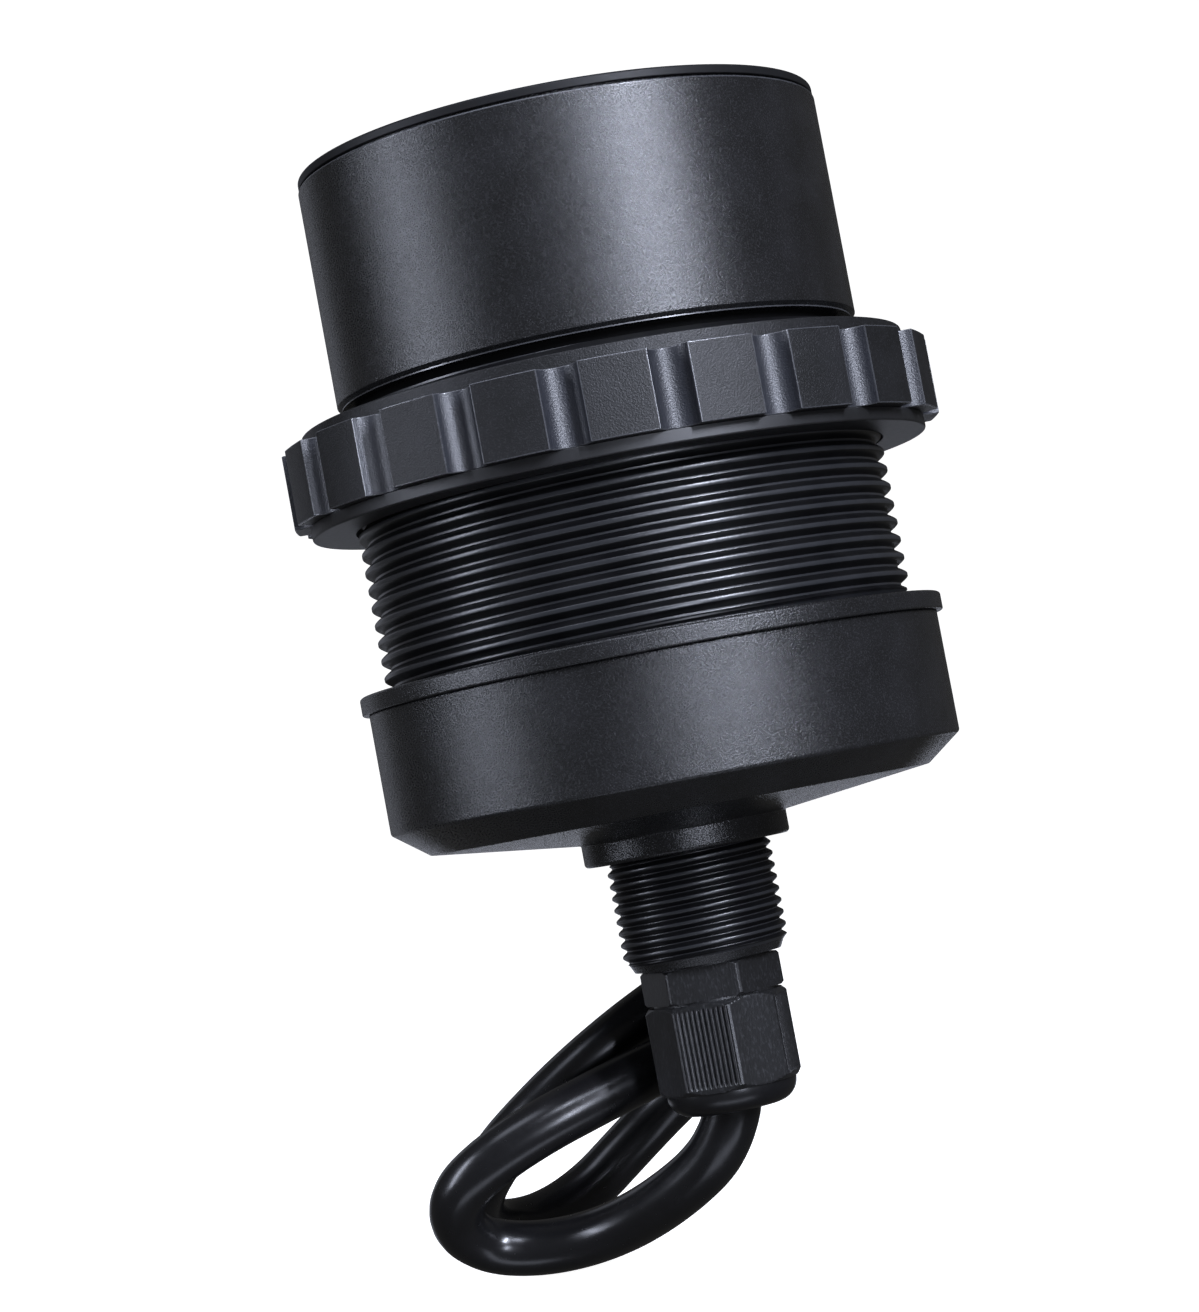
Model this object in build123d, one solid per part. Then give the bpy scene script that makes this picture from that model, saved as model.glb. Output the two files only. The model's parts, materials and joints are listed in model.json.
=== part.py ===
from build123d import *
import os
from math import cos, pi, radians, sin, tan

# Ultrasonic level sensor, millimetres. The axis is Z, the sensing face looks along +Z.
# Level 0 is the upper face of the lip, which seats against the tank.

# Clearances
slip = 0.2                # pieces that are pushed together
play = 0.3                # the nut and its gasket over the thread
hole_play = 0.1           # small pieces in their holes
cable_play = 0.05         # the seal round the cable

# Main thread
thread_size = 89.8
thread_pitch = 3.0
thread_depth = 1.4
thread_crest = 0.5
thread_root = 0.35
thread_length = 46.5
thread_start = 0.9        # height of a crest on the +X side
thread_relief = 0.5

# Body, inwards and outwards from the thread
lip_width = 4.7
lip_thickness = 3.0
lip_edge = 0.5
undercut_depth = 1.1
undercut_length = 1.65
shoulder_width = 1.6      # the head shell's seat
spigot_length = 10.0
spigot_edge = 0.6
spigot_wall = 3.3
floor_thickness = 4.0
skirt_length = 10.0

# Square-section seals
seal_section = 1.9
seal_width = 2.2
head_seal_height = 5.0    # above the head shell's seat
cap_seal_depth = 5.0      # below the lip

# Head
shell_wall = 3.5
shell_low_edge = 0.8
shell_top_edge = 0.3
rim_inset = 0.2
rim_thickness = 1.5
rim_edge = 0.7
groove_height = 0.4
groove_depth = 1.1
face_spigot = 2.0

# Transducer stack, from the body's floor upwards
sleeve_wall = 2.6
pad_thickness = 3.0
block_floor = 5.15
block_wall = 7.8
disc_thickness = 10.0
layer_thickness = 8.0
probe_size = 3.0
probe_inset = 4.0         # from the stack's edge to the probe's axis
probe_hole = 3.4
wire_hole = 5.0
wire_offset = 12.0
wire_size = 1.4
wire_spacing = 1.8
probe_wire = 1.2

# Electronics
board_thickness = 1.6
board_step = 1.2          # the bore is narrower by this above the board
board_depth = 28.55       # from the body's floor down to the board
spring_width = 2.6
spring_thickness = 1.5
spring_gap = 9.0
lead_plug_width = 7.0
lead_plug_depth = 5.0
probe_plug_width = 4.0
probe_plug_depth = 3.0
plug_height = 6.0
core_x = -14.0
core_y = 2.0
core_width = 18.0
core_depth = 6.0
core_height = 15.0
core_leg = 2.5
core_window = 4.2
coil_play = 0.3           # from the core's outer legs to the winding
coil_depth = 13.0
coil_height = 9.0
coil_foot = 1.0
can_x = 4.0
can_y = 19.0
can_size = 10.0
can_height = 18.0
can_count = 2
can_pitch = 13.0
chip_x = 1.0
chip_y = -16.0
chip_width = 8.0
chip_depth = 6.0
chip_height = 1.8
chip_count = 3
chip_pitch = 11.0
terminal_width = 17.0
terminal_depth = 10.0
terminal_height = 12.0
terminal_pitch = 5.0
terminal_count = 3
terminal_hole = 2.6
terminal_lever = 3.4
terminal_lever_depth = 1.2
terminal_roof = 1.5

# Nut and gasket, outwards from the bore
gasket_level = 27.4       # underside of the gasket at rest
gasket_width = 7.3
gasket_thickness = 2.2
gasket_edge = 0.3
nut_lands = 20
nut_wall = 9.75           # from the bore to a land
nut_ring_height = 12.7
nut_groove = 6.4
nut_groove_depth = 2.75
nut_land_edge = 0.35
nut_turn = 11.6
collar_wall = 6.2
collar_height = 2.3
collar_edge = 0.4
nut_bore_edge = 0.8

# Rear cap
lip_overhang = 1.1
cap_rim_wall = 3.8
cap_wall = 4.0
cap_side = 20.4
cap_chamfer = 6.0
cap_chamfer_height = 4.5
cap_slope = 7.0
cap_end_wall = 3.6
flange_width = 3.5
flange_length = 3.85
flange_edge = 0.7
neck_size = 28.0
neck_pitch = 2.0
neck_depth = 0.9
neck_length = 18.7
neck_end_edge = 1.3
neck_passage = 16.0

# Cable
cable_size = 9.6
core_size = 1.5
core_spread = 1.6
core_reach = 6.0
sheath_drop = 9.0         # from the end of the body's skirt down to the sheath's end
route = [                 # from the gland's mouth, in relation to its level
    (0, 0, 0), (0, 0, -2.2), (-0.75, 0.5, -4.7), (-2.6, 1.8, -8.4), (-6, 4.4, -12.7), (-12.5, 9.5, -17.2),
    (-20.5, 17, -21.4), (-29, 22.5, -23.9), (-38.5, 25.5, -24.4), (-47, 25, -22.4), (-51.5, 20.5, -17.4),
    (-50, 15, -11.4), (-43, 12, -6.4), (-33.5, 12, -2.4), (-23.5, 14, 0.6), (-14.5, 17, 3.1), (-6, 20.5, 5.1),
    (1, 26.5, 5.6), (5.5, 35, 4.6), (6.5, 44, 2.1), (2.5, 51.5, -1.4), (-4.5, 56.5, -5.4), (-13, 59, -9.9),
    (-21, 59, -14.4), (-29, 57.5, -19.4), (-37.5, 54, -22.4), (-45.5, 48.5, -22.4), (-49.5, 41, -18.9),
    (-48, 33.5, -13.4), (-42.5, 28.5, -6.9), (-35.5, 26.5, -1.4), (-27.5, 26.5, 4.1), (-19, 27, 9.1),
    (-11, 28.5, 13.1), (-4, 31, 16.1), (1, 34, 17.1),
]

# Gland, outwards from the cable
gland_thread = 18.6
gland_reach = 11.5
gland_seal_gap = 0.4
gland_gasket_inset = 0.1
gland_shoulder = 1.135    # the hexagon's flats beyond the gland's thread
gland_hex_height = 5.6
gland_hex_edge = 0.4
gland_hex_turn = 52.1
seal_wall = 1.75
seal_length = 11.0
claw_wall = 1.5
claw_length = 11.2
claw_depth = 6.0          # how far the claw goes up into the stem
claw_taper = 1.0
claw_taper_length = 2.7
claw_slots = 6
claw_slot = 1.0
claw_slot_length = 7.0
stem_wall = 1.1
stem_length = 8.5
nut_gap = 0.4
dome_wall = 1.75
dome_edge = 0.8
dome_inset = 0.35         # the dome's foot inside the flats
dome_length = 3.85
dome_round = 3.0
dome_turn = 8.3
mouth_lip = 0.6
mouth_depth = 4.0         # from the end of the nut up to the cable's exit
throat_play = 0.4
throat_length = 0.8
throat_seat = 1.4         # from the cable's exit up to the claw

# Radii and levels that follow from the sizes above
crest = thread_size / 2
root = crest - thread_depth
undercut = root - undercut_depth
spigot = undercut - shoulder_width
bore = spigot - spigot_wall
lip = crest + lip_width
seat = thread_length + undercut_length
floor_top = seat + spigot_length
floor_low = floor_top - floor_thickness
shell_inner = spigot + slip
shell_outer = shell_inner + shell_wall
stack = spigot - sleeve_wall - slip
disc = stack - block_wall - slip
probe_offset = stack - probe_inset
block_low = floor_top + pad_thickness
disc_low = block_low + block_floor
disc_top = disc_low + disc_thickness
layer_top = disc_top + layer_thickness
face_seat = layer_top + face_spigot
face_top = face_seat + rim_thickness
board_top = floor_low - board_depth
board_low = board_top - board_thickness
nut_bore = crest + play
land = nut_bore + nut_wall
nut_low = gasket_level + gasket_thickness
ring_top = nut_low + nut_ring_height
nut_top = ring_top + collar_height
cap_outer = lip - lip_overhang
cap_bore = cap_outer - cap_rim_wall
skirt = cap_bore - slip
skirt_end = -lip_thickness - skirt_length
cap_corner = -lip_thickness - cap_side
cap_low = cap_corner - cap_chamfer_height
cap_rise = tan(radians(cap_slope))
coil_width = core_width - 2 * (core_leg + coil_play)
flange = neck_size / 2 + flange_width
hub_level = cap_low - (cap_outer - cap_chamfer - flange) * cap_rise
flange_low = hub_level - flange_length
neck_end = flange_low - neck_length
hex_top = neck_end - gland_seal_gap
hex_low = hex_top - gland_hex_height
hex_flat = gland_thread / 2 + gland_shoulder
gland_bore = cable_size / 2 + slip
seal_inner = cable_size / 2 + cable_play
seal_outer = seal_inner + seal_wall
claw_inner = seal_outer + hole_play
claw_outer = claw_inner + claw_wall
stem_bore = claw_outer + hole_play
stem_outer = stem_bore + stem_wall
stem_end = hex_low - stem_length
claw_top = stem_end + claw_depth
claw_low = claw_top - claw_length
dome_top = hex_low - nut_gap
dome_bore = stem_outer + slip
dome_flat = dome_bore + dome_wall
dome_foot = dome_flat - dome_inset
mouth = claw_low - throat_seat
dome_end = mouth - mouth_depth
dome_low = dome_end + dome_length
sheath_end = skirt_end - sheath_drop


def ring(outer, inner, low, high):
    """Flat or tall ring on the axis, from its two radii."""
    return Pos(0, 0, low) * extrude(Circle(outer) - Circle(inner), high - low)


def rod(radius, low, high, x=0, y=0):
    return Pos(x, y, low) * extrude(Circle(radius), high - low)


def block(width, depth, low, high, x=0, y=0):
    return Pos(x, y, low) * extrude(Rectangle(width, depth), high - low)


def turned(*outline, rounds=()):
    """Solid of revolution from (radius, level) points; rounds lists the corners to fillet."""
    profile = make_face(Polyline(*outline, close=True))
    for radius, level, size in rounds:
        corner = profile.vertices().sort_by_distance(Vector(radius, level, 0))[0]
        profile = fillet(corner, size)
    return revolve(Plane.XZ * profile, Axis.Z)


def bend_radii(points):
    """The largest arc that the two runs beside each corner leave room for."""
    places = [Vector(*point) for point in points]
    radii = []
    for before, here, after in zip(places, places[1:], places[2:]):
        turn = (here - before).get_angle(after - here)
        shorter = min((here - before).length, (after - here).length)
        radii.append(0.45 * shorter / tan(radians(turn / 2)))
    return radii


def tube(points, radius):
    """Round wire or cable: straight runs joined by tangent arcs."""
    path = FilletPolyline(*points, radius=bend_radii(points))
    start = Plane(origin=path @ 0, z_dir=path % 0)
    return sweep(start * Circle(radius), path=path)


def threaded_rod(outer, depth, pitch, crest_flat, root_flat, low, high, start):
    """Rod with one right-handed helical ridge, both thread ends bevelled."""
    inner = outer - depth
    below = 0.2
    half_root = (pitch - root_flat) / 2
    half_crest = crest_flat / 2
    half_below = half_root + below * (half_root - half_crest) / depth
    first = low - 2 * pitch + (start - low) % pitch
    helix = Helix(pitch, high - first + pitch, inner, center=(0, 0, first))
    section = Plane(origin=helix @ 0, z_dir=helix % 0, x_dir=(1, 0, 0))
    flank = Polyline(
        (-below, -half_below), (depth, -half_crest), (depth, half_crest), (-below, half_below), close=True
    )
    ridge = sweep(section * make_face(flank), path=helix, is_frenet=True)
    whole = rod(inner, low - 3 * pitch, high + 3 * pitch) + ridge
    past = outer + 0.1
    rise = past - inner
    limit = turned(
        (0, low), (inner, low), (past, low + rise), (past, high - rise), (inner, high), (0, high)
    )
    return whole & limit


def around(count, circle, turn=0):
    """Places of a circular pattern, as (x, y)."""
    step = 2 * pi / count
    angles = [radians(turn) + step * index for index in range(count)]
    return [(circle * cos(angle), circle * sin(angle)) for angle in angles]


wires = [(wire_offset - wire_spacing / 2, 0), (wire_offset + wire_spacing / 2, 0)]
terminals = [(index - (terminal_count - 1) / 2) * terminal_pitch for index in range(terminal_count)]
core_places = around(terminal_count, core_spread, 180)


# Body, head and nut

def make_threaded_body():
    thread = threaded_rod(
        crest, thread_depth, thread_pitch, thread_crest, thread_root,
        thread_relief, thread_length, thread_start,
    )
    lower = turned(
        (0, skirt_end), (skirt, skirt_end), (skirt, -lip_thickness), (lip, -lip_thickness), (lip, -lip_edge),
        (lip - lip_edge, 0), (root, 0), (root, thread_relief), (0, thread_relief),
    )
    upper = turned(
        (0, thread_length), (undercut, thread_length), (undercut, seat), (spigot, seat),
        (spigot, floor_top - spigot_edge), (spigot - spigot_edge, floor_top), (0, floor_top),
    )
    body = lower + thread + upper
    body -= rod(bore, skirt_end, board_top)
    body -= rod(bore - board_step, board_top, floor_low)
    body -= ring(bore + spring_width / 2, bore - slip, board_low - spring_thickness, board_low)
    body -= ring(spigot + slip, shell_inner - seal_section, *head_seal_levels())
    body -= ring(skirt + slip, cap_bore - seal_section, *cap_seal_levels())
    body -= rod(wire_hole / 2, floor_low, floor_top, wire_offset, 0)
    body -= rod(probe_hole / 2, floor_low, floor_top, 0, probe_offset)
    return body


def head_seal_levels():
    low = seat + head_seal_height
    return low, low + seal_width


def cap_seal_levels():
    high = -lip_thickness - cap_seal_depth
    return high - seal_width, high


def make_head_oring():
    return ring(shell_inner, shell_inner - seal_section, *head_seal_levels())


def make_cap_oring():
    return ring(cap_bore, cap_bore - seal_section, *cap_seal_levels())


def make_head_shell():
    groove = shell_outer - groove_depth
    lower = face_seat - groove_height
    return turned(
        (shell_inner, seat), (shell_outer - shell_low_edge, seat), (shell_outer, seat + shell_low_edge),
        (shell_outer, lower - shell_top_edge), (shell_outer - shell_top_edge, lower), (groove, lower),
        (groove, face_seat), (shell_inner, face_seat),
    )


def make_sensing_face():
    outer = shell_outer - rim_inset
    inner = shell_inner - slip
    return turned(
        (0, layer_top), (inner, layer_top), (inner, face_seat), (outer, face_seat), (outer, face_top), (0, face_top),
        rounds=[(outer, face_top, rim_edge)],
    )


def make_nut_gasket():
    outer = nut_bore + gasket_width
    return turned(
        (nut_bore, gasket_level), (outer - gasket_edge, gasket_level), (outer, gasket_level + gasket_edge),
        (outer, nut_low), (nut_bore, nut_low),
    )


def make_ring_nut():
    """Twenty flat lands parted by half-round grip grooves, with a plain collar on top."""
    outline = RegularPolygon(land, nut_lands, major_radius=False, rotation=nut_turn)
    groove_circle = land - nut_groove_depth + nut_groove / 2
    for x, y in around(nut_lands, groove_circle, nut_turn):
        outline -= Pos(x, y) * Circle(nut_groove / 2)
    outline = chamfer(outline.vertices(), nut_land_edge)
    toothed = Pos(0, 0, nut_low) * extrude(outline, nut_ring_height)
    collar = nut_bore + collar_wall
    top = turned(
        (0, ring_top), (collar, ring_top), (collar, nut_top - collar_edge), (collar - collar_edge, nut_top),
        (0, nut_top),
    )
    hollow = turned(
        (0, nut_low), (nut_bore, nut_low), (nut_bore, nut_top - nut_bore_edge), (nut_bore + nut_bore_edge, nut_top),
        (0, nut_top),
    )
    return toothed + top - hollow


# Transducer

def make_isolation_pad():
    pad = rod(stack, floor_top, block_low)
    pad -= rod(wire_hole / 2, floor_top, block_low, wire_offset, 0)
    return pad - rod(probe_hole / 2, floor_top, block_low, 0, probe_offset)


def make_damping_block():
    body = rod(stack, block_low, disc_top)
    body -= rod(disc + slip, disc_low, disc_top)
    body -= rod(wire_hole / 2, block_low, disc_low, wire_offset, 0)
    return body - rod(probe_hole / 2, block_low, disc_top, 0, probe_offset)


def make_piezo_disc():
    return rod(disc, disc_low, disc_top)


def make_matching_layer():
    layer = rod(stack, disc_top, layer_top)
    return layer - rod(probe_hole / 2, disc_top, layer_top, 0, probe_offset)


def make_isolation_sleeve():
    return ring(spigot, stack + slip, floor_top, layer_top)


def make_temperature_probe():
    return rod(probe_size / 2, disc_top, layer_top, 0, probe_offset)


def make_probe_lead():
    return rod(probe_wire / 2, board_top + plug_height, disc_top, 0, probe_offset)


def make_piezo_leads():
    pair = [rod(wire_size / 2, board_top + plug_height, disc_low, x, y) for x, y in wires]
    return Compound(children=pair)


# Electronics

def make_circuit_board():
    return rod(bore - slip, board_low, board_top)


def make_board_ring():
    """Split spring ring in the bore's groove, under the board."""
    low = board_low - spring_thickness
    outer = bore + spring_width / 2 - hole_play
    spring = ring(outer, outer - spring_width, low, board_low)
    return spring - block(spring_gap, 4 * spring_width, low, board_low, 0, -outer)


def make_lead_plug():
    return block(lead_plug_width, lead_plug_depth, board_top, board_top + plug_height, wire_offset, 0)


def make_probe_plug():
    return block(probe_plug_width, probe_plug_depth, board_top, board_top + plug_height, 0, probe_offset)


def make_transformer_core():
    low = board_top + coil_foot
    core = block(core_width, core_depth, low, low + core_height, core_x, core_y)
    middle = core_width / 2 - core_leg - core_window / 2
    for side in (-1, 1):
        window_low = low + core_leg
        window_high = low + core_height - core_leg
        core -= block(core_window, core_depth, window_low, window_high, core_x + side * middle, core_y)
    return core


def make_transformer_coil():
    leg = core_width - 2 * core_leg - 2 * core_window
    middle = board_top + coil_foot + core_height / 2
    coil = block(coil_width, coil_depth, middle - coil_height / 2, middle + coil_height / 2, core_x, core_y)
    coil -= block(leg, core_depth, middle - coil_height / 2, middle + coil_height / 2, core_x, core_y)
    base = block(coil_width, coil_depth, board_top, board_top + coil_foot, core_x, core_y)
    for side in (-1, 1):
        y = core_y + side * (coil_depth / 2 + core_depth / 2) / 2
        base += block(coil_width, (coil_depth - core_depth) / 2, board_top, middle - coil_height / 2, core_x, y)
    return coil + base


def make_capacitors():
    places = [can_x + index * can_pitch for index in range(can_count)]
    return Compound(children=[rod(can_size / 2, board_top, board_top + can_height, x, can_y) for x in places])


def make_chips():
    places = [chip_x + index * chip_pitch for index in range(chip_count)]
    top = board_top + chip_height
    return Compound(children=[block(chip_width, chip_depth, board_top, top, x, chip_y) for x in places])


def make_terminal_block():
    """Push-in terminals: a wire hole from below and a release slot in front, for each core."""
    low = board_low - terminal_height
    body = block(terminal_width, terminal_depth, low, board_low)
    front = -terminal_depth / 2 + terminal_lever_depth / 2
    for x in terminals:
        body -= rod(terminal_hole / 2, low, low + core_reach, x, 0)
        body -= block(terminal_lever, terminal_lever_depth, low + core_reach, board_low - terminal_roof, x, front)
    return body


# Rear cap

def make_neck():
    """The neck's fine thread, as ridges all round."""
    outer = neck_size / 2
    inner = outer - neck_depth
    turns = int((neck_length - neck_end_edge) / neck_pitch)
    outline = [(0, flange_low), (inner, flange_low)]
    for index in range(turns):
        low = flange_low - neck_pitch * (index + 1)
        outline += [(outer, low + neck_pitch / 2), (inner, low)]
    outline += [(inner, neck_end + neck_end_edge), (inner - neck_end_edge / 2, neck_end), (0, neck_end)]
    return turned(*outline)


def make_rear_cap():
    inner = cap_outer - cap_wall
    inner_low = cap_low + cap_end_wall
    inner_corner = inner_low + cap_chamfer_height / 3
    shelf = skirt_end - slip
    passage = neck_passage / 2
    passage_level = inner_low - (cap_outer - cap_chamfer - passage) * cap_rise
    gland_hole = gland_thread / 2 + slip
    gland_top = hex_top + gland_reach
    cover = turned(
        (0, -lip_thickness), (cap_outer, -lip_thickness), (cap_outer, cap_corner),
        (cap_outer - cap_chamfer, cap_low), (flange, hub_level), (flange, flange_low), (0, flange_low),
        rounds=[(flange, flange_low, flange_edge)],
    )
    cover += make_neck()
    return cover - turned(
        (0, -lip_thickness), (cap_bore, -lip_thickness), (cap_bore, shelf), (inner, shelf), (inner, inner_corner),
        (cap_outer - cap_chamfer, inner_low), (passage, passage_level), (passage, gland_top),
        (gland_hole, gland_top), (gland_hole, neck_end), (0, neck_end),
    )


# Gland

def make_gland_gasket():
    return ring(hex_flat - gland_gasket_inset, gland_thread / 2 + slip, hex_top, neck_end)


def make_gland_body():
    corner = hex_flat / cos(pi / 6)
    hexagon = Pos(0, 0, hex_low) * extrude(RegularPolygon(corner, 6, rotation=gland_hex_turn), gland_hex_height)
    hexagon &= turned(
        (0, hex_low), (corner - gland_hex_edge, hex_low), (corner, hex_low + gland_hex_edge),
        (corner, hex_top - gland_hex_edge), (corner - gland_hex_edge, hex_top), (0, hex_top),
    )
    body = rod(stem_outer, stem_end, hex_low) + hexagon + rod(gland_thread / 2, hex_top, hex_top + gland_reach)
    body -= rod(gland_bore, claw_top, hex_top + gland_reach)
    return body - rod(stem_bore, stem_end, claw_top)


def make_gland_claw():
    claw = turned(
        (claw_inner, claw_low), (claw_outer - claw_taper, claw_low), (claw_outer, claw_low + claw_taper_length),
        (claw_outer, claw_top), (claw_inner, claw_top),
    )
    for index in range(claw_slots // 2):
        slot = block(2 * claw_outer, claw_slot, claw_low, claw_low + claw_slot_length)
        claw -= Rot(0, 0, 360 / claw_slots * index) * slot
    return claw


def make_gland_seal():
    return ring(seal_outer, seal_inner, claw_top - seal_length, claw_top)


def make_gland_nut():
    """Eight-sided nut with a domed end that flares inside towards the cable."""
    corner = dome_flat / cos(pi / 8)
    sides = Pos(0, 0, dome_low) * extrude(RegularPolygon(corner, 8, rotation=dome_turn), dome_top - dome_low)
    sides &= turned(
        (0, dome_low), (corner - dome_edge, dome_low), (corner, dome_low + dome_edge),
        (corner, dome_top - dome_edge), (corner - dome_edge, dome_top), (0, dome_top),
    )
    dome = turned(
        (0, dome_end), (dome_foot, dome_end), (dome_foot, dome_low), (0, dome_low),
        rounds=[(dome_foot, dome_end, dome_round)],
    )
    throat = cable_size / 2 + throat_play
    seat_level = claw_low - slip
    hollow = turned(
        (0, dome_end), (dome_foot - dome_round - mouth_lip, dome_end), (throat, mouth - throat_length),
        (throat, seat_level), (claw_outer - claw_taper + slip, seat_level),
        (dome_bore, claw_low + claw_taper_length), (dome_bore, dome_top), (0, dome_top),
    )
    return sides + dome - hollow


# Cable

def make_cable():
    return tube([(x, y, z + mouth) for x, y, z in route], cable_size / 2)


def make_cable_inside():
    return rod(cable_size / 2, mouth, sheath_end)


def make_cable_cores():
    entry = board_low - terminal_height
    cores = []
    for x, (start_x, start_y) in zip(terminals, core_places):
        start = Vector(start_x, start_y, sheath_end + slip)
        way = Vector(x, 0, entry + core_reach / 2) - start
        length = (entry + core_reach - slip - start.Z) * way.length / way.Z
        cores.append(Plane(origin=start, z_dir=way) * extrude(Circle(core_size / 2), length))
    return Compound(children=cores)


def make_cable_end_cores():
    """The short cores where the sheath ends."""
    before = Vector(*route[-2])
    end = Vector(*route[-1])
    across = Plane(origin=(end.X, end.Y, end.Z + mouth), z_dir=end - before)
    cores = []
    for x, y in core_places:
        cores.append(across * Pos(x, y) * extrude(Circle(core_size / 2), core_reach))
    return Compound(children=cores)


makers = {
    "sensing_face": make_sensing_face,
    "head_shell": make_head_shell,
    "matching_layer": make_matching_layer,
    "piezo_disc": make_piezo_disc,
    "damping_block": make_damping_block,
    "isolation_pad": make_isolation_pad,
    "isolation_sleeve": make_isolation_sleeve,
    "temperature_probe": make_temperature_probe,
    "probe_lead": make_probe_lead,
    "piezo_leads": make_piezo_leads,
    "threaded_body": make_threaded_body,
    "head_oring": make_head_oring,
    "circuit_board": make_circuit_board,
    "board_ring": make_board_ring,
    "transformer_core": make_transformer_core,
    "transformer_coil": make_transformer_coil,
    "capacitors": make_capacitors,
    "chips": make_chips,
    "lead_plug": make_lead_plug,
    "probe_plug": make_probe_plug,
    "terminal_block": make_terminal_block,
    "ring_nut": make_ring_nut,
    "nut_gasket": make_nut_gasket,
    "rear_cap": make_rear_cap,
    "cap_oring": make_cap_oring,
    "gland_gasket": make_gland_gasket,
    "gland_body": make_gland_body,
    "gland_claw": make_gland_claw,
    "gland_seal": make_gland_seal,
    "gland_nut": make_gland_nut,
    "cable_inside": make_cable_inside,
    "cable_cores": make_cable_cores,
    "cable": make_cable,
    "cable_end_cores": make_cable_end_cores,
}

os.makedirs("parts", exist_ok=True)
for name, make in makers.items():
    export_step(make(), "parts/" + name + ".step")
print("cable bend radii:", [round(radius, 1) for radius in bend_radii(route)])
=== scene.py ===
import json
from math import atan2, ceil, cos, floor, hypot, pi, radians, sin, tan

import bmesh
import bpy
from mathutils import Euler, Matrix, Vector


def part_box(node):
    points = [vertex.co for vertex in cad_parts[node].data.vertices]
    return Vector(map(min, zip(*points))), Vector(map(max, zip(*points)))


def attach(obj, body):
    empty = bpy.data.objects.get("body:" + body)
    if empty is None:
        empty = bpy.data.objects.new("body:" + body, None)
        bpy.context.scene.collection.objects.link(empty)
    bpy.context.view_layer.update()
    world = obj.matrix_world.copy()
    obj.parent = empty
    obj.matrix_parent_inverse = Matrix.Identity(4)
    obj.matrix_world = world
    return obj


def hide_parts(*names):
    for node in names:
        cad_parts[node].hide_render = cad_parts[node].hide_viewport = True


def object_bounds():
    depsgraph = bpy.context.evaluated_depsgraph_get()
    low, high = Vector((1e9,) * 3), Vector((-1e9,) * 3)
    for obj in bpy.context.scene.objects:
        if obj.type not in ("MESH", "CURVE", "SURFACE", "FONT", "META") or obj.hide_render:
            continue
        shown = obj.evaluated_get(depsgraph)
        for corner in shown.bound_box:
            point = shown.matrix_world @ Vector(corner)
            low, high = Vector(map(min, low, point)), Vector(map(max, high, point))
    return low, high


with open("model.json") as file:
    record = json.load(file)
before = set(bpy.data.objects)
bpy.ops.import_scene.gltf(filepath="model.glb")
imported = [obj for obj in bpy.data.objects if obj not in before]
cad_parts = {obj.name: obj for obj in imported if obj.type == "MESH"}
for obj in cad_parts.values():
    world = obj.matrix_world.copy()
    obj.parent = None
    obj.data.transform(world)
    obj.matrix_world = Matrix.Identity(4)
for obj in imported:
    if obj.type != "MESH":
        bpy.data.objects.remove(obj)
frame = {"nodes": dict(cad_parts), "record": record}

cad_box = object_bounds()
mm = 0.001


# Sizes in millimetres. A node's own box gives its levels and its radius, the rest stands below.

def low(node):
    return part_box(node)[0].z / mm


def high(node):
    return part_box(node)[1].z / mm


def radius(node):
    """Half the node's width along the axis that runs across the photograph."""
    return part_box(node)[1].x / mm


tolerance = 0.001         # for levels that are the same
lathe_steps = 192         # points round a turned piece
small_round = 0.15        # corners that only catch the light

face_edge = 0.45
rim_height = 1.5
shell_groove = 1.1        # depth of the dark groove under the face
shell_groove_height = 0.4
shell_low_edge = 0.8
shell_low_band = 0.2      # band under the bevel with a painted highlight
shell_top_edge = 0.3
shell_wall = 3.5

crest = 44.9
thread_depth = 1.4
thread_pitch = 3.0
thread_start = 0.9        # height of a crest on the +X side
thread_crest_flat = 0.9
thread_root_flat = 0.4
thread_soft = 0.7         # share of a flank that the crest's rounding takes
thread_low = 0.5
thread_high = 46.5
undercut = 41.4           # radius of the dark gap between the thread and the head
spigot = 40.8
bore = 37.5
skirt = 44.5
skirt_end = -13.0
floor_low = 54.15
lip_edge = 0.5
lip_low_edge = 0.3

nut_bore = 45.2
nut_lands = 20
nut_land = 54.94          # from the axis to a land
nut_crown = 0.14          # a land's rise from its edges to its middle
nut_crown_steps = (-0.75, -0.5, -0.25, 0, 0.25, 0.5, 0.75)
nut_groove = 3.2          # radius of a grip groove
nut_groove_depth = 2.75
nut_groove_steps = 24
nut_edge = 0.2
nut_edge_turns = (0, pi / 6, pi / 3, pi / 2)
nut_mouth = 0.8           # bevel at the bore's upper end
nut_turn = 11.6           # degrees
collar = 51.4
collar_height = 2.3
gasket_edge = 0.35

cap_bore = 44.7
cap_corner = -23.4
cap_low = -27.9
cap_chamfer = 6.0
cap_slope = 7.0
cap_wall = 4.0
cap_end_wall = 3.6
cap_inner_bevel = 1.5
cap_top_edge = 0.3
cap_soft_edge = 0.8       # at both ends of the chamfer
skirt_gap = 0.2           # below the body's skirt
hub_round = 0.25
flange = 17.5
flange_length = 3.85
flange_edge = 0.7
neck = 14.0
neck_depth = 0.9
neck_pitch = 2.0
neck_start = 0.3
neck_crest_flat = 0.6
neck_root_flat = 0.2
neck_end_edge = 1.3
neck_end_inset = 0.65
passage = 8.0
gland_hole = 9.5

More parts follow.
